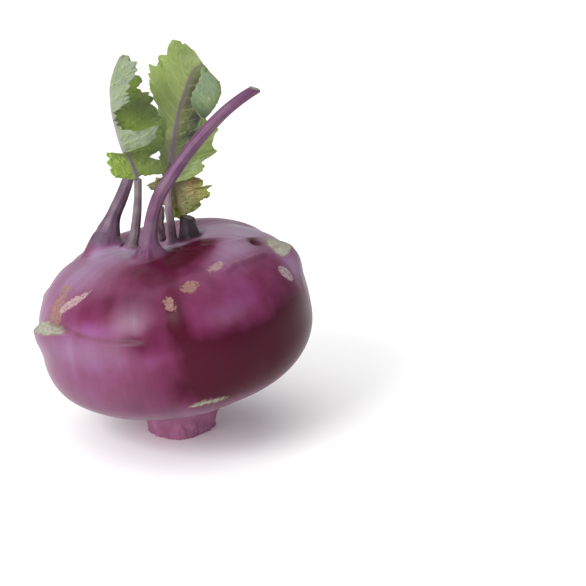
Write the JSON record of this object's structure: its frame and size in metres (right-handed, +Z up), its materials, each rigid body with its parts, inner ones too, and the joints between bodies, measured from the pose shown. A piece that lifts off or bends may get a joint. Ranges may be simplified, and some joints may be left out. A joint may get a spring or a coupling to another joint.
{
  "type": "kohlrabi",
  "caption": "Purple kohlrabi: a round swollen stem on a cut root, with cut leaf stalks, leaf scars and young leaves on its crown.",
  "frame": {"origin": "middle of the flat cut under the root stub, where the kohlrabi stands", "axes": "+Z up, towards the leaves; the front looks along -Y, and the stem leans to -X"},
  "size_m": [0.1019, 0.1, 0.1419],
  "materials": {
    "skin": "smooth purple skin with a waxy bloom, corky grey-green leaf scars",
    "stalk": "ribbed purple leaf stalk with a waxy bloom",
    "leaf": "matt green leaf, grey-green and waxy underneath",
    "yellow_leaf": "crinkled leaf going yellow and brown",
    "dried_leaf": "dried papery leaf"
  },
  "bodies": {
    "root": {"bulb": "skin", "stalk_left": "stalk", "stalk_front": "stalk", "stalk_left_leaf": "stalk", "stalk_middle_leaf": "stalk", "stalk_stump": "stalk", "leaf_left": "leaf", "leaf_middle": "leaf", "leaf_small": "yellow_leaf", "crown_bud": "dried_leaf"}
  },
  "joints": []
}
